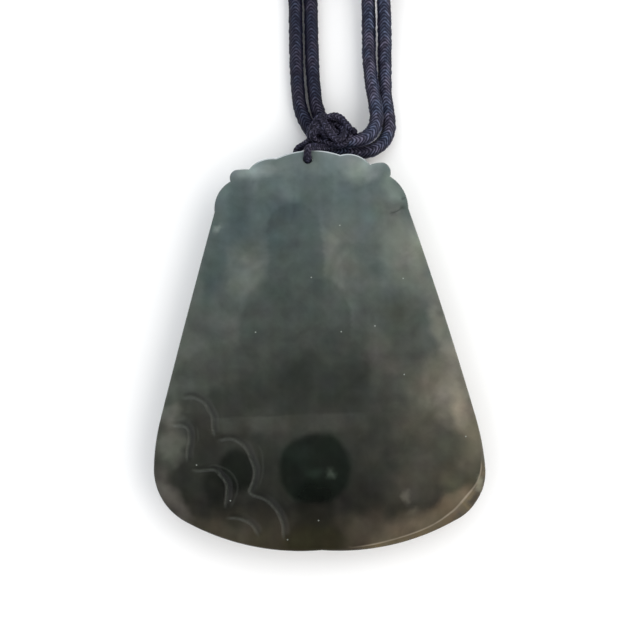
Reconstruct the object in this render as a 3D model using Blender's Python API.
"""A carved jade Guanyin plaque with its hanger cord and its doubled neck cord, lying on a table.

The plaque lies on its carved side, polished back up, its drilled top edge towards +Y. A thin
cord runs through the hole, ties round the two neck cords above the top edge, and the neck cords
run on in +Y to the coil that takes up their length.
"""
import math

import bmesh
import bpy
from mathutils import Matrix, Vector
from mathutils.geometry import delaunay_2d_cdt

# Every size and place below is in millimetres, and MM turns it into Blender's metres.
MM = 0.001

# --- The plaque -----------------------------------------------------------------------------
BACK_Z = 6.5          # height of the polished back, and the thickness over the highest carving
GROUND_Z = 2.9        # height of the carved ground, which the forms stand down from
TOP_GROUND_RISE = 0.5  # the ground thins the stone further above the figure, for the cord
TOP_RISE_FROM, TOP_RISE_TO = 25.0, 29.5
RIM_HEIGHT, RIM_WIDTH = 0.7, 1.9     # the plain border that frames the carving
RIM_SIDE = 0.5        # width of the border's sloping inner side

# Outline, anticlockwise from the foot: x, y, and how far the arc to the next station bulges.
OUTLINE = (
    (0.0, -31.92, 1.6), (21.4, -27.8, 1.55), (26.55, -19.4, 0.22), (25.2, -11.1, 0.25),
    (15.4, 22.4, 0.75), (12.6, 27.6, 0.55), (11.6, 29.85, 0.12), (9.45, 29.55, 0.78),
    (4.75, 31.25, 1.0), (-5.55, 31.0, 0.62), (-9.95, 29.35, 0.05), (-11.7, 29.35, 0.62),
    (-12.95, 27.5, 0.85), (-15.65, 22.65, 0.08), (-25.08, -9.7, 0.22), (-26.48, -17.5, 1.45),
    (-21.95, -26.6, 1.7),
)
OUTLINE_STEP = 2.2            # longest side of the faceted outline
OUTLINE_TURN = math.radians(20)

BACK_BEVEL = (0.22, 0.22)     # the narrow polished bevel round the back: inset, drop
# Where the back's edge is worn broader, at one lower corner: middle, reach, inset, drop.
WORN_PLACES = (((15.0, -29.5), 11.0, 0.65, 0.12), ((24.4, -25.2), 5.2, 1.45, 0.26))
FRONT_BEVEL = (0.5, 0.45)     # the bevel round the carved side

HOLE = (-0.5, 30.75)
HOLE_RADIUS = 0.75
HOLE_SIDES = 16

# Cloud scrolls cut in the back's lower left corner, each line running clockwise round its lobe.
CLOUD_LINES = (
    ((-22.0, -6.8), (-20.0, -6.8), (-18.2, -7.6), (-17.0, -9.7), (-16.8, -11.6), (-16.5, -13.6)),
    ((-16.4, -14.1), (-14.6, -13.5), (-12.5, -14.3), (-11.0, -16.5), (-10.35, -19.3), (-11.3, -22.1)),
    ((-11.3, -22.3), (-9.6, -23.2), (-7.4, -24.8), (-6.05, -27.5), (-6.0, -30.4)),
    ((-24.0, -11.2), (-21.8, -11.3), (-20.6, -12.5), (-20.9, -15.2), (-21.3, -17.5)),
    ((-20.9, -18.6), (-18.2, -18.5), (-16.2, -18.9), (-14.8, -21.5), (-15.3, -25.0)),
    ((-15.5, -26.3), (-13.9, -26.3), (-11.9, -26.9), (-10.4, -28.4), (-9.9, -29.8)),
)
CUT_DEPTH = 0.38       # depth of the groove at the foot of each cloud edge
CUT_SLOPE = 1.2        # width of the groove's outer slope
CUT_WALL = 0.16        # width of the steep inner wall
CUT_STEP = 0.12        # how far the cloud stays below the back just inside its wall
CUT_FADE = 3.0         # distance over which the cloud comes back up to the back
CUT_STEP_ALONG = 1.3   # between the corners along a cloud's edge
CUT_RUN_OUT = 0.12     # share of a cloud's edge over which its cut runs out at each end
TAPER_START, TAPER_RATE = 0.25, 0.5  # how an offset line closes on its ends, corner by corner

BACK_GRID = 4.2        # spacing of the facets on the polished back
FRONT_GRID = 1.65      # spacing of the facets on the carved side
LOOP_CLEARANCE = 0.55  # how far facet corners keep from the outline and the hole
LINE_CLEARANCE = 0.5   # how far they keep from a carved edge
END_CLEARANCE = 0.4    # how far a carved edge keeps from the outline
COARSE_CLEARANCE = 0.25  # how much more a coarser grid keeps clear, for each millimetre of spacing
CORNER_STRETCH = 1.3   # most that an inset widens at a sharp corner of the outline
GRID_REACH = 34.0      # the grid covers this far from the middle each way
FORM_STEP = 1.5        # longest side of a carved form's foot
FORM_SHOULDER = 0.88   # where a form's side turns into its top, as a share of its reach
FORM_BLEND = 0.6       # how softly one carved form runs into the next

# Domed forms: x, y, half width, half height, height above the ground, squareness of the dome.
# They are cut in this order, and one with a negative height hollows what stands before it.
HEAD_X = -2.6
BODY_X = -1.4
FIGURE = (
    (HEAD_X, 17.2, 5.2, 7.4, 2.3, 2.0),           # veil
    (HEAD_X + 0.6, 10.0, 8.2, 4.6, 1.8, 2.0),     # veil over the shoulders
    (HEAD_X, 15.6, 3.7, 4.5, -0.75, 3.0),         # the veil's opening
    (HEAD_X, 20.0, 2.9, 2.6, 2.5, 2.0),           # hair swept up over the brow
    (HEAD_X, 22.3, 1.6, 1.9, 2.8, 1.6),           # top knot
    (HEAD_X, 15.6, 2.7, 3.5, 3.1, 1.6),           # face
    (BODY_X, 3.6, 6.4, 7.4, 2.3, 2.0),            # chest
    (BODY_X, 5.4, 2.7, 5.0, -0.5, 3.0),           # open front of the robe
    (BODY_X, -3.1, 3.3, 1.9, 3.2, 1.6),           # hands in the lap
    (BODY_X - 8.4, -6.0, 8.0, 3.8, 3.1, 2.0),     # knees
    (BODY_X + 8.4, -6.0, 8.0, 3.8, 3.1, 2.0),
    (BODY_X, -7.4, 6.4, 2.4, 2.6, 2.0),           # crossed feet
)
BOSS = (-0.7, -18.8)
BOSSES = (
    (*BOSS, 5.6, 5.6, 3.1, 5.0),                  # lotus boss
    (*BOSS, 4.1, 4.1, -0.45, 5.0),                # its dished middle
    (-0.9, -30.2, 4.3, 3.9, 2.3, 4.0),            # lower boss
)
PETALS, PETAL_RING, PETAL_SIZE = 10, 6.9, (1.7, 1.7, 1.1, 2.0)
CLOUDS_LEFT = (
    (-12.6, -18.4, 4.5, 4.2, 3.1, 2.5), (-17.8, -23.0, 3.7, 3.2, 2.4, 2.5),
    (-20.8, -16.0, 3.3, 3.1, 2.0, 2.5), (-9.2, -26.3, 3.9, 2.7, 2.0, 2.5),
)
CLOUDS_RIGHT = (
    (11.4, -18.4, 4.5, 4.2, 3.1, 2.5), (16.8, -23.0, 3.7, 3.2, 2.4, 2.5),
    (19.9, -16.0, 3.3, 3.1, 2.0, 2.5), (7.6, -26.5, 3.9, 2.7, 2.0, 2.5),
)
CLOUD_WISP = (1.5, 1.5)    # half width and height of the wisps that join the clouds
CLOUDS_HIGH = (
    (-12.0, 16.6, 2.5, 2.0, 1.3, 2.0), (8.2, 17.4, 2.8, 2.1, 1.3, 2.0),
    (13.9, 5.6, 2.7, 2.2, 1.3, 2.0), (-16.4, 4.8, 2.7, 2.2, 1.3, 2.0),
)
HIGH_TAIL = (3.8, 2.1, 1.0, 0.9)  # each high cloud's tail: outwards, down, half width, height
DOMES = (
    *FIGURE, *BOSSES, *CLOUDS_LEFT, *CLOUDS_RIGHT, *CLOUDS_HIGH,
    *((BOSS[0] + PETAL_RING * math.cos(2 * math.pi * i / PETALS),
       BOSS[1] + PETAL_RING * math.sin(2 * math.pi * i / PETALS), *PETAL_SIZE)
      for i in range(PETALS)),
)
# Arms, sleeves and wisps of cloud, as round bars: the two ends, half width, height.
ARM_SPREAD, ELBOW_SPREAD = 7.4, 8.8
ARMS = tuple(
    limb for side in (-1, 1) for limb in (
        ((BODY_X + side * ARM_SPREAD, 7.4), (BODY_X + side * ELBOW_SPREAD, 0.6), 2.4, 2.5),
        ((BODY_X + side * ELBOW_SPREAD, 0.6), (BODY_X + side * 3.0, -2.6), 2.0, 2.85),
        ((BODY_X + side * ELBOW_SPREAD, 0.6), (BODY_X + side * 11.6, -3.6), 2.2, 2.2),
    )
)
WISPS = tuple(
    (clouds[a][:2], clouds[b][:2], *CLOUD_WISP)
    for clouds in (CLOUDS_LEFT, CLOUDS_RIGHT) for a, b in ((0, 1), (1, 2), (1, 3))
)
TAILS = tuple(
    ((x, y), (x + math.copysign(HIGH_TAIL[0], x), y - HIGH_TAIL[1]), *HIGH_TAIL[2:])
    for x, y, *_ in CLOUDS_HIGH
)
BARS = (*ARMS, *WISPS, *TAILS)
# The level groove under the figure: x from and to, middle y, half height, depth below the ground.
SEAT_GROOVE = (-18.6, 8.4, -11.4, 1.4, 0.35)
GROOVE_FLOOR = 0.6     # share of its half height that is level
GROOVE_RUN_OUT = 1.5   # length over which it rises at each end
GROOVE_CORNERS = 3.0   # between the corners along it
BAR_END_SIDES = 5      # sides round each end of a bar

# --- The cords ------------------------------------------------------------------------------
CORD_RADIUS = 1.15
CORD_PITCH = 2.4          # distance between turns that lie side by side
CORD_POINT_STEP = 2.7     # between the points along a cord, close enough for its tight bends
CORD_BEVEL_RESOLUTION = 2  # eight sides
CURVE_PARTS = 24           # fine steps between two points of a route

# Each neck cord's two stretches between the knot and the coil: x, y, z.
CORD_ROUTES = {
    "neck_cord_outer_left": (
        (0.05, 35.85, 1.2), (-0.75, 37.3, 1.2), (-1.35, 38.9, 1.2), (-1.62, 40.3, 1.2),
        (-1.78, 42.1, 1.2), (-1.88, 45.5, 1.2), (-1.9, 49.5, 1.2), (-1.85, 53.5, 1.2),
        (-1.82, 57.5, 1.2), (-1.8, 61.75, 1.2),
    ),
    "neck_cord_inner_left": (
        (1.72, 37.85, 1.2), (1.3, 39.0, 1.2), (1.02, 40.3, 1.2), (0.84, 42.1, 1.2),
        (0.68, 45.5, 1.2), (0.64, 49.5, 1.2), (0.66, 53.5, 1.2), (0.68, 57.5, 1.2), (0.68, 61.2, 1.2),
    ),
    "neck_cord_inner_right": (
        (6.3, 33.65, 3.5), (8.15, 33.8, 3.6), (9.75, 34.72, 3.5), (10.67, 36.3, 3.2),
        (10.82, 38.2, 3.0), (10.52, 40.4, 2.9), (10.12, 43.5, 2.45), (9.92, 47.0, 1.85),
        (9.94, 50.5, 1.45), (10.0, 54.0, 1.4), (10.02, 57.5, 1.4), (10.02, 61.2, 1.4),
    ),
    "neck_cord_outer_right": (
        (5.3, 32.2, 1.4), (6.9, 32.0, 1.65), (8.8, 32.0, 1.75), (10.66, 32.54, 1.6),
        (12.12, 33.87, 1.4), (12.86, 35.75, 1.25), (12.72, 38.1, 1.2), (12.42, 40.2, 1.2),
        (12.33, 42.4, 1.2), (12.4, 45.8, 1.2), (12.48, 49.5, 1.2), (12.5, 53.5, 1.3),
        (12.5, 57.5, 1.35), (12.5, 61.75, 1.35),
    ),
}

COIL_CENTRE = (5.35, 84.7)
COIL_PASSES = 4            # how many times the cord pair lies beside itself in a layer
COIL_MIDDLE_RADIUS = 13.8  # six diameters, the middle of the turns
COIL_LAYERS = 2
COIL_SEGMENTS = 56
COIL_CORNER = 0.9

THIN_RADIUS = 0.6
THIN_SIDES = 8
THIN_STEP = 0.85
THIN_END = 0.7             # each end of the thin cord's strands narrows to this share
HANGER_ROUTE = (
    (2.6, 33.6, 4.3), (1.3, 33.35, 5.6), (0.15, 33.25, 6.8), (-0.42, 32.75, 7.3),
    (-0.5, 31.9, 7.35), (-0.5, 31.15, 7.1), (-0.5, 30.78, 6.3), (-0.5, 30.75, 5.0),
    (-0.5, 30.75, 3.6), (-0.55, 31.05, 2.55), (-1.0, 31.75, 1.85), (-1.75, 32.4, 1.55),
    (-2.1, 33.05, 1.5), (-1.6, 33.6, 1.6), (-0.6, 33.85, 1.9), (0.7, 34.2, 2.4), (2.4, 34.4, 2.7),
)
# The knot's visible strands, each going back into the knot's core at both ends.
KNOT_STRANDS = (
    ((2.9, 36.3, 3.4), (2.8, 37.1, 4.3), (3.5, 37.6, 5.0), (4.3, 37.65, 5.3), (5.1, 37.2, 5.4),
     (5.75, 36.4, 5.1), (6.3, 35.9, 4.7), (6.75, 35.5, 4.35)),
    ((2.9, 36.4, 3.6), (2.5, 36.6, 4.9), (2.9, 35.5, 5.7), (3.7, 34.4, 6.0), (4.5, 33.8, 5.8),
     (5.2, 34.3, 5.5), (5.5, 35.3, 5.2), (4.9, 36.0, 4.4), (4.2, 35.6, 3.4)),
    ((3.2, 36.6, 3.0), (2.5, 37.6, 3.8), (1.4, 37.3, 4.0), (0.7, 36.2, 3.9), (0.25, 35.2, 3.5),
     (0.9, 34.4, 3.0), (2.2, 34.2, 2.8)),
    ((1.9, 34.3, 3.2), (0.55, 34.6, 4.3), (1.0, 35.4, 5.0), (1.95, 35.4, 5.2), (2.5, 34.7, 4.7),
     (2.9, 34.2, 3.6)),
)
KNOT_CORE = ((3.5, 34.8, 2.75), (2.5, 2.5, 2.5))


def metres(x, y, z=0.0):
    return Vector((x, y, z)) * MM


def smoothstep(low, high, value):
    share = min(max((value - low) / (high - low), 0.0), 1.0)
    return share * share * (3 - 2 * share)


def principled(name, colour, roughness, subsurface=0.0):
    material = bpy.data.materials.new(name)
    material.use_nodes = True
    shader = material.node_tree.nodes["Principled BSDF"]
    shader.inputs["Base Color"].default_value = (*colour, 1.0)
    shader.inputs["Roughness"].default_value = roughness
    shader.inputs["Metallic"].default_value = 0.0
    shader.inputs["Subsurface Weight"].default_value = subsurface
    material.diffuse_color = (*colour, 1.0)
    return material


def link(name, data, material):
    data.materials.append(material)
    obj = bpy.data.objects.new(name, data)
    bpy.context.scene.collection.objects.link(obj)
    return obj


def smooth_curve(route, step):
    """Evenly spaced points on a Catmull-Rom curve through the route's points."""
    points = [Vector(p) for p in route]
    before = points[0] * 2 - points[1]
    after = points[-1] * 2 - points[-2]
    run = [before, *points, after]
    dense = []
    for p0, p1, p2, p3 in zip(run, run[1:], run[2:], run[3:]):
        for i in range(CURVE_PARTS):
            t = i / CURVE_PARTS
            dense.append(0.5 * (2 * p1 + (p2 - p0) * t + (2 * p0 - 5 * p1 + 4 * p2 - p3) * t ** 2
                                + (3 * p1 - p0 - 3 * p2 + p3) * t ** 3))
    dense.append(points[-1])
    lengths = [0.0]
    for a, b in zip(dense, dense[1:]):
        lengths.append(lengths[-1] + (b - a).length)
    count = max(2, round(lengths[-1] / step))
    even = []
    k = 0
    for i in range(count + 1):
        target = lengths[-1] * i / count
        while k < len(lengths) - 2 and lengths[k + 1] < target:
            k += 1
        share = (target - lengths[k]) / (lengths[k + 1] - lengths[k])
        even.append(dense[k].lerp(dense[k + 1], share))
    return even


# --- The plaque's shape ---------------------------------------------------------------------
def outline_loop():
    """The outline's corners, anticlockwise, with the arcs broken into short sides."""
    loop = []
    for (ax, ay, bulge), (bx, by, _) in zip(OUTLINE, OUTLINE[1:] + OUTLINE[:1]):
        a, b = Vector((ax, ay)), Vector((bx, by))
        chord = (b - a).length
        half_turn = 2 * math.atan2(2 * bulge, chord)
        sides = max(1, math.ceil(chord / OUTLINE_STEP), math.ceil(2 * half_turn / OUTLINE_TURN))
        outward = Vector((b.y - a.y, a.x - b.x)) / chord
        for i in range(sides):
            share = i / sides
            if bulge < 0.01:
                loop.append(a.lerp(b, share))
                continue
            radius = chord / (2 * math.sin(half_turn))
            angle = half_turn * (2 * share - 1)
            along = radius * math.sin(angle)
            rise = radius * (math.cos(angle) - math.cos(half_turn))
            loop.append((a + b) / 2 + (b - a) / chord * along + outward * rise)
    return loop


def inset_loop(loop, widths):
    """The loop moved inwards at each corner by that corner's width."""
    moved = []
    for i, point in enumerate(loop):
        before = (point - loop[i - 1]).normalized()
        after = (loop[(i + 1) % len(loop)] - point).normalized()
        inward = Vector((-(before.y + after.y), before.x + after.x)).normalized()
        stretch = min(CORNER_STRETCH, 1 / max(0.1, inward.dot(Vector((-before.y, before.x)))))
        moved.append(point + inward * widths[i] * stretch)
    return moved


def back_bevel(point):
    """Inset and drop of the back's bevel at a point of the outline."""
    inset, drop = BACK_BEVEL
    for middle, reach, more_inset, more_drop in WORN_PLACES:
        wear = math.exp(-((point - Vector(middle)).length / reach) ** 2)
        inset += more_inset * wear
        drop += more_drop * wear
    return inset, drop


def edge_distance(x, y, loop):
    """How far a point lies from the outline."""
    nearest = math.inf
    point = Vector((x, y))
    for a, b in zip(loop, loop[1:] + loop[:1]):
        side = b - a
        share = min(max((point - a).dot(side) / side.length_squared, 0.0), 1.0)
        nearest = min(nearest, (point - a - side * share).length)
    return nearest


def inside(x, y, loop):
    """Whether a point lies inside a loop, by counting the sides to its right."""
    odd = False
    for a, b in zip(loop, loop[1:] + loop[:1]):
        if (a.y > y) != (b.y > y) and x < a.x + (y - a.y) / (b.y - a.y) * (b.x - a.x):
            odd = not odd
    return odd


def dome(x, y, form):
    cx, cy, half_x, half_y, height, square = form
    reach = math.hypot((x - cx) / half_x, (y - cy) / half_y)
    if reach >= 1:
        return 0.0
    return height * math.sqrt(1 - reach ** (2 * square))


def bar(x, y, form):
    start, end, half_width, height = form
    a, b, point = Vector(start), Vector(end), Vector((x, y))
    side = b - a
    share = min(max((point - a).dot(side) / side.length_squared, 0.0), 1.0)
    reach = (point - a - side * share).length / half_width
    if reach >= 1:
        return 0.0
    return height * math.sqrt(1 - reach ** 4)


def dome_line(form, reach):
    """The closed line round a dome at a share of its reach."""
    cx, cy, half_x, half_y = form[:4]
    sides = math.ceil(2 * math.pi * max(half_x, half_y) / FORM_STEP)
    turns = (2 * math.pi * i / sides for i in range(sides + 1))
    return [Vector((cx + reach * half_x * math.cos(a), cy + reach * half_y * math.sin(a)))
            for a in turns]


def bar_line(form, reach):
    """The closed line round a bar at a share of its reach: two straight sides, two round ends."""
    start, end, half_width, _ = form
    a, b = Vector(start), Vector(end)
    heading = math.atan2((b - a).y, (b - a).x)
    line = []
    for centre, first in ((b, heading - math.pi / 2), (a, heading + math.pi / 2)):
        for i in range(BAR_END_SIDES + 1):
            turn = first + math.pi * i / BAR_END_SIDES
            line.append(centre + Vector((math.cos(turn), math.sin(turn))) * half_width * reach)
    return [*line, line[0]]


def blend(a, b):
    """The larger of two heights, with a soft hollow where they are alike."""
    soft = min(FORM_BLEND, 2 * min(a, b))
    if soft <= 0:
        return max(a, b)
    return max(a, b) + max(soft - abs(a - b), 0.0) ** 2 / (4 * soft)


def carved_height(x, y, edge):
    """How far the carving stands from its ground at a point that lies edge from the outline."""
    below_top = 1 - smoothstep(TOP_RISE_FROM, TOP_RISE_TO, y)
    height = RIM_HEIGHT * (1 - smoothstep(RIM_WIDTH - RIM_SIDE, RIM_WIDTH, edge)) * below_top
    for form in DOMES:
        if form[4] < 0:
            height = max(height + dome(x, y, form), 0.0)
        else:
            height = blend(height, dome(x, y, form))
    for form in BARS:
        height = blend(height, bar(x, y, form))
    x_from, x_to, middle, half, depth = SEAT_GROOVE
    across = 1 - smoothstep(half * GROOVE_FLOOR, half, abs(y - middle))
    along = smoothstep(x_from, x_from + GROOVE_RUN_OUT, x)
    along *= 1 - smoothstep(x_to - GROOVE_RUN_OUT, x_to, x)
    height = height * (1 - across * along) - depth * across * along
    return min(height, GROUND_Z) - TOP_GROUND_RISE * (1 - below_top)


def split_line(line, keep):
    """The stretches of a line whose points pass the test."""
    stretches = [[]]
    for point in line:
        if keep(point):
            stretches[-1].append(point)
        elif stretches[-1]:
            stretches.append([])
    return [stretch for stretch in stretches if len(stretch) > 1]


def form_lines():
    """The foot and the shoulder of each carved form, where no other form covers them."""
    forms = [(form, dome, dome_line) for form in DOMES] + [(form, bar, bar_line) for form in BARS]
    lines = []
    for form, height_of, line_of in forms:
        others = [(other, rise) for other, rise, _ in forms if other is not form]
        shoulder = line_of(form, FORM_SHOULDER)
        least = height_of(shoulder[0].x, shoulder[0].y, form)
        if least < 0:
            least = GROUND_Z
        for reach in (1.0, FORM_SHOULDER):
            lines += split_line(line_of(form, reach), lambda p: all(
                rise(p.x, p.y, other) < least for other, rise in others))
    x_from, x_to, middle, half, _ = SEAT_GROOVE
    for share in (-1.0, -GROOVE_FLOOR, GROOVE_FLOOR, 1.0):
        y = middle + half * share
        count = round((x_to - x_from) / GROOVE_CORNERS)
        lines.append([Vector((x_from + (x_to - x_from) * i / count, y)) for i in range(count + 1)])
    return lines


def front_z(x, y, loop):
    """Height of the carved side, which faces down, near the table."""
    return GROUND_Z - carved_height(x, y, edge_distance(x, y, loop))


def offset_line(line, distance):
    """A line moved to its left by a distance, less towards its two ends."""
    moved = []
    for i, point in enumerate(line):
        along = (line[min(i + 1, len(line) - 1)] - line[max(i - 1, 0)]).normalized()
        taper = min(1.0, TAPER_START + TAPER_RATE * min(i, len(line) - 1 - i))
        moved.append(point + Vector((-along.y, along.x)) * distance * taper)
    return moved


def cloud_curves():
    return [[Vector((p.x, p.y)) for p in smooth_curve([(x, y, 0) for x, y in line], CUT_STEP_ALONG)]
            for line in CLOUD_LINES]


def cloud_cut(x, y, curves):
    """Depth of the cloud carving in the back."""
    deepest = 0.0
    point = Vector((x, y))
    for line in curves:
        near, side, share_along = math.inf, 1.0, 0.0
        for i, (a, b) in enumerate(zip(line, line[1:])):
            run = b - a
            share = min(max((point - a).dot(run) / run.length_squared, 0.0), 1.0)
            away = point - a - run * share
            if away.length < near:
                near = away.length
                side = run.x * away.y - run.y * away.x
                share_along = (i + share) / (len(line) - 1)
        taper = smoothstep(0.0, CUT_RUN_OUT, min(share_along, 1 - share_along))
        if side >= 0:
            cut = CUT_DEPTH * max(0.0, 1 - near / CUT_SLOPE)
        elif near < CUT_WALL:
            cut = CUT_DEPTH + (CUT_STEP - CUT_DEPTH) * near / CUT_WALL
        else:
            cut = CUT_STEP * max(0.0, 1 - (near - CUT_WALL) / CUT_FADE)
        deepest = max(deepest, cut * taper)
    return deepest


def grid_points(loop, spacing, lines):
    """A triangular grid of points inside the outline, clear of it, of the hole and of the lines."""
    marks = [p for line in lines for p in line]
    points = []
    rise = spacing * math.sqrt(3) / 2
    for row in range(int(2 * GRID_REACH / rise)):
        y = -GRID_REACH + row * rise
        for column in range(int(2 * GRID_REACH / spacing)):
            x = -GRID_REACH + spacing * (column + 0.5 * (row % 2))
            if math.dist((x, y), HOLE) < HOLE_RADIUS + LOOP_CLEARANCE or not inside(x, y, loop):
                continue
            if edge_distance(x, y, loop) < LOOP_CLEARANCE * (1 + COARSE_CLEARANCE * spacing):
                continue
            if all(math.dist((x, y), mark) > LINE_CLEARANCE for mark in marks):
                points.append(Vector((x, y)))
    return points


def hole_loop():
    turns = (2 * math.pi * i / HOLE_SIDES for i in range(HOLE_SIDES))
    return [Vector((HOLE[0] + HOLE_RADIUS * math.cos(a), HOLE[1] + HOLE_RADIUS * math.sin(a)))
            for a in turns]


def triangulate(loop, hole, inner_points, lines):
    """Triangles between the loop and the hole, through the points and along the lines."""
    points = [*loop, *hole]
    edges = [(i, (i + 1) % len(loop)) for i in range(len(loop))]
    first = len(loop)
    edges += [(first + i, first + (i + 1) % len(hole)) for i in range(len(hole))]
    for line in lines:
        kept = [p for p in line
                if inside(p.x, p.y, loop) and edge_distance(p.x, p.y, loop) > END_CLEARANCE]
        edges += [(len(points) + i, len(points) + i + 1) for i in range(len(kept) - 1)]
        points += kept
    points += inner_points
    corners, _, faces, origins, _, _ = delaunay_2d_cdt(points, edges, [], 0, 1e-4)
    order = {}
    for new, olds in enumerate(origins):
        for old in olds:
            if old < first + len(hole):
                order[old] = new
    kept_faces = []
    for face in faces:
        middle = sum((corners[i] for i in face), Vector((0, 0))) / len(face)
        if inside(middle.x, middle.y, loop) and not inside(middle.x, middle.y, hole):
            kept_faces.append(face)
    return corners, kept_faces, [order[i] for i in range(first + len(hole))]


def add_face_sheet(mesh, loop, hole, inner_points, lines, height, upward):
    """Adds one side of the plaque to the mesh and returns its outer loop and its hole loop."""
    corners, faces, order = triangulate(loop, hole, inner_points, lines)
    used = {i for face in faces for i in face}
    made = {i: mesh.verts.new(metres(corners[i].x, corners[i].y, height(corners[i].x, corners[i].y)))
            for i in used}
    for face in faces:
        a, b, c = (corners[i] for i in face)
        if ((b - a).cross(c - a) > 0) != upward:
            face = face[::-1]
        mesh.faces.new([made[i] for i in face])
    ring = [made[i] for i in order]
    return ring[:len(loop)], ring[len(loop):]


def bridge(mesh, upper, lower):
    """Quads between two rings of equal count that run anticlockwise, facing outwards."""
    for i in range(len(upper)):
        k = (i + 1) % len(upper)
        mesh.faces.new((upper[i], lower[i], lower[k], upper[k]))


def make_plaque(material):
    loop = outline_loop()
    hole = hole_loop()
    bevels = [back_bevel(p) for p in loop]
    back_loop = inset_loop(loop, [inset for inset, _ in bevels])
    front_loop = inset_loop(loop, [FRONT_BEVEL[0]] * len(loop))
    curves = cloud_curves()
    lines = []
    for line in curves:
        lines += [line, offset_line(line, CUT_SLOPE), offset_line(line, -CUT_WALL)]
    carved_lines = form_lines()
    for width in (RIM_WIDTH - RIM_SIDE, RIM_WIDTH):
        rim = inset_loop(loop, [width] * len(loop))
        carved_lines += split_line([*rim, rim[0]], lambda p: p.y < TOP_RISE_FROM)
    mesh = bmesh.new()
    back_ring, back_hole = add_face_sheet(
        mesh, back_loop, hole, grid_points(back_loop, BACK_GRID, lines), lines,
        lambda x, y: BACK_Z - cloud_cut(x, y, curves), True)
    front_ring, front_hole = add_face_sheet(
        mesh, front_loop, hole, grid_points(front_loop, FRONT_GRID, carved_lines), carved_lines,
        lambda x, y: front_z(x, y, loop), False)
    upper = [mesh.verts.new(metres(p.x, p.y, BACK_Z - drop)) for p, (_, drop) in zip(loop, bevels)]
    lower = [mesh.verts.new(metres(p.x, p.y, v.co.z / MM + FRONT_BEVEL[1]))
             for p, v in zip(loop, front_ring)]
    bridge(mesh, back_ring, upper)
    bridge(mesh, upper, lower)
    bridge(mesh, lower, front_ring)
    bridge(mesh, front_hole, back_hole)
    data = bpy.data.meshes.new("jade_plaque")
    mesh.to_mesh(data)
    mesh.free()
    return link("jade_plaque", data, material)


# --- The cords' shapes ----------------------------------------------------------------------
def make_cord(name, route, material):
    """A plain round cord along its route, as a bevelled curve with closed ends."""
    data = bpy.data.curves.new(name, "CURVE")
    data.dimensions = "3D"
    data.bevel_depth = CORD_RADIUS * MM
    data.bevel_resolution = CORD_BEVEL_RESOLUTION
    data.use_fill_caps = True
    points = smooth_curve(route, CORD_POINT_STEP)
    spline = data.splines.new("POLY")
    spline.points.add(len(points) - 1)
    for slot, point in zip(spline.points, points):
        slot.co = (*metres(*point), 1.0)
    return link(name, data, material)


def make_coil(name, material):
    """The wound length of both neck cords, as a turned ring with rounded corners."""
    half_width = COIL_PASSES * CORD_PITCH
    height = 2 * CORD_RADIUS + (COIL_LAYERS - 1) * CORD_PITCH
    inner = COIL_MIDDLE_RADIUS - half_width
    outer = COIL_MIDDLE_RADIUS + half_width
    section = [
        (inner + COIL_CORNER, 0), (outer - COIL_CORNER, 0), (outer, COIL_CORNER),
        (outer, height - COIL_CORNER), (outer - COIL_CORNER, height),
        (inner + COIL_CORNER, height), (inner, height - COIL_CORNER), (inner, COIL_CORNER),
    ]
    mesh = bmesh.new()
    corners = [mesh.verts.new(metres(r, 0, z)) for r, z in section]
    sides = [mesh.edges.new((corners[i], corners[(i + 1) % len(corners)]))
             for i in range(len(corners))]
    bmesh.ops.spin(mesh, geom=corners + sides, cent=(0, 0, 0), axis=(0, 0, 1),
                   angle=2 * math.pi, steps=COIL_SEGMENTS, use_merge=True)
    bmesh.ops.recalc_face_normals(mesh, faces=mesh.faces)
    data = bpy.data.meshes.new(name)
    mesh.to_mesh(data)
    mesh.free()
    coil = link(name, data, material)
    coil.location = metres(*COIL_CENTRE)
    data.shade_smooth()
    data.set_sharp_from_angle(angle=math.radians(40))
    return coil


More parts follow.
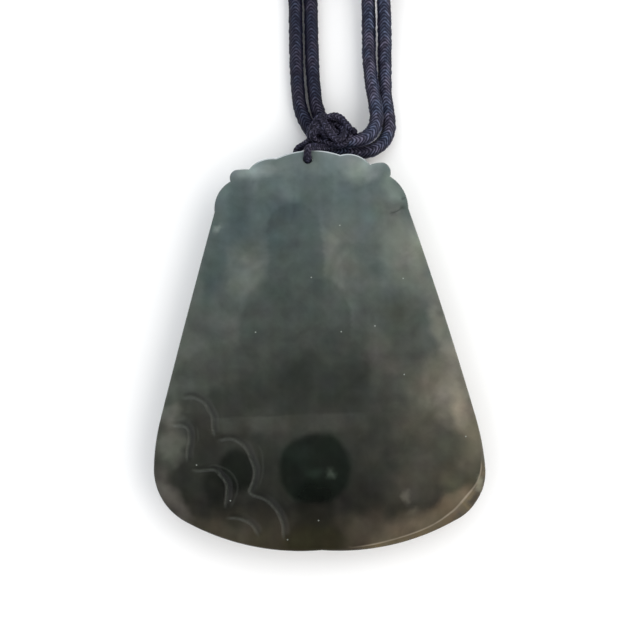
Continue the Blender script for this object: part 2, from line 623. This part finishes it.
def tube_mesh(name, route, radius):
    """A closed round tube along a route, with eight sides and rounded-off ends."""
    points = [p * MM for p in smooth_curve(route, THIN_STEP)]
    mesh = bmesh.new()
    rings = []
    side = Vector((0, 0, 1))
    for i, point in enumerate(points):
        along = (points[min(i + 1, len(points) - 1)] - points[max(i - 1, 0)]).normalized()
        side = (side - along * side.dot(along)).normalized()
        other = along.cross(side)
        size = radius * MM * (THIN_END if i in (0, len(points) - 1) else 1.0)
        turns = (2 * math.pi * k / THIN_SIDES for k in range(THIN_SIDES))
        rings.append([mesh.verts.new(point + (side * math.cos(a) + other * math.sin(a)) * size)
                      for a in turns])
    for lower, upper in zip(rings, rings[1:]):
        for k in range(THIN_SIDES):
            n = (k + 1) % THIN_SIDES
            mesh.faces.new((lower[k], lower[n], upper[n], upper[k]))
    mesh.faces.new(rings[0][::-1])
    mesh.faces.new(rings[-1])
    data = bpy.data.meshes.new(name)
    mesh.to_mesh(data)
    mesh.free()
    return data


def make_hanger(name, material):
    """The thin cord in one piece: the loop through the hole and the knot round the neck cords."""
    centre, radii = KNOT_CORE
    core = bmesh.new()
    shape = Matrix.Translation(metres(*centre)) @ Matrix.Diagonal((*metres(*radii), 1.0))
    bmesh.ops.create_icosphere(core, subdivisions=2, radius=1.0, matrix=shape)
    data = bpy.data.meshes.new(name)
    core.to_mesh(data)
    core.free()
    hanger = link(name, data, material)
    for i, route in enumerate((HANGER_ROUTE, *KNOT_STRANDS)):
        strand = link(f"{name}_strand_{i + 1}", tube_mesh(f"strand_{i + 1}", route, THIN_RADIUS), material)
        strand.hide_render = True
        strand.display_type = "WIRE"
        union = hanger.modifiers.new(f"strand_{i + 1}", "BOOLEAN")
        union.operation = "UNION"
        union.object = strand
    return hanger


def clear_scene():
    for obj in list(bpy.data.objects):
        bpy.data.objects.remove(obj, do_unlink=True)


def main():
    clear_scene()
    jade = principled("jade", (0.12, 0.15, 0.13), 0.22, 0.3)
    cord = principled("cord", (0.02, 0.018, 0.03), 0.7)
    thin_cord = principled("thin_cord", (0.025, 0.02, 0.028), 0.75)
    make_plaque(jade)
    for name, route in CORD_ROUTES.items():
        make_cord(name, route, cord)
    make_coil("neck_cord_coil", cord)
    make_hanger("hanger_cord", thin_cord)


main()
